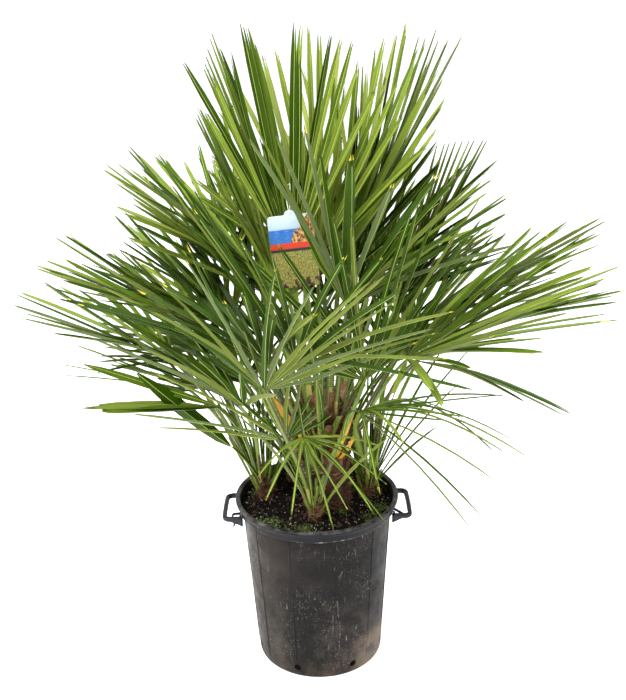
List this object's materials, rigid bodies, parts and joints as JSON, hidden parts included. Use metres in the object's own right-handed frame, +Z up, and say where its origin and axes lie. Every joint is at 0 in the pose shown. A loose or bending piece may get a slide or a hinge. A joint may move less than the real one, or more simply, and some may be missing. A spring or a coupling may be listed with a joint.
{
  "type": "potted european fan palm",
  "caption": "Clumping fan palm in a round black nursery pot: short fibrous trunk with suckers, pleated fans on long stalks, soil and a card tag.",
  "frame": {"origin": "middle of the pot's flat underside, on the surface that it stands on", "axes": "+Z up, -Y towards the viewer of the picture, +X to the viewer's right along the line of the two handles"},
  "size_m": [1.4843, 1.2566, 1.5296],
  "materials": {
    "pot_plastic": "satin",
    "soil": "matte",
    "trunk_bark": "matte",
    "sucker_bark": "matte",
    "frond_trunk": "satin",
    "frond_sucker": "satin",
    "tag_card": "gloss"
  },
  "bodies": {
    "root": {"frond_sucker_back_40": "frond_sucker", "frond_sucker_back_41": "frond_sucker", "frond_sucker_back_42": "frond_sucker", "frond_sucker_back_43": "frond_sucker", "frond_sucker_back_44": "frond_sucker", "frond_sucker_front_05": "frond_sucker", "frond_sucker_front_22": "frond_sucker", "frond_sucker_left_11": "frond_sucker", "frond_sucker_left_12": "frond_sucker", "frond_sucker_left_19": "frond_sucker", "frond_sucker_left_21": "frond_sucker", "frond_sucker_right_07": "frond_sucker", "frond_sucker_right_20": "frond_sucker", "frond_sucker_right_45": "frond_sucker", "frond_sucker_right_46": "frond_sucker", "frond_sucker_right_47": "frond_sucker", "frond_trunk_01": "frond_trunk", "frond_trunk_02": "frond_trunk", "frond_trunk_03": "frond_trunk", "frond_trunk_04": "frond_trunk", "frond_trunk_06": "frond_trunk", "frond_trunk_08": "frond_trunk", "frond_trunk_09": "frond_trunk", "frond_trunk_10": "frond_trunk", "frond_trunk_13": "frond_trunk", "frond_trunk_14": "frond_trunk", "frond_trunk_15": "frond_trunk", "frond_trunk_16": "frond_trunk", "frond_trunk_17": "frond_trunk", "frond_trunk_18": "frond_trunk", "frond_trunk_23": "frond_trunk", "frond_trunk_24": "frond_trunk", "frond_trunk_25": "frond_trunk", "frond_trunk_26": "frond_trunk", "frond_trunk_27": "frond_trunk", "frond_trunk_28": "frond_trunk", "frond_trunk_29": "frond_trunk", "frond_trunk_30": "frond_trunk", "frond_trunk_31": "frond_trunk", "frond_trunk_32": "frond_trunk", "frond_trunk_33": "frond_trunk", "frond_trunk_34": "frond_trunk", "frond_trunk_35": "frond_trunk", "frond_trunk_36": "frond_trunk", "frond_trunk_37": "frond_trunk", "frond_trunk_38": "frond_trunk", "frond_trunk_39": "frond_trunk", "pot": "pot_plastic", "pot_handle_left": "pot_plastic", "pot_handle_right": "pot_plastic", "soil": "soil", "sucker_back": "sucker_bark", "sucker_front": "sucker_bark", "sucker_left": "sucker_bark", "sucker_right": "sucker_bark", "tag": "tag_card", "trunk": "trunk_bark"}
  },
  "joints": []
}
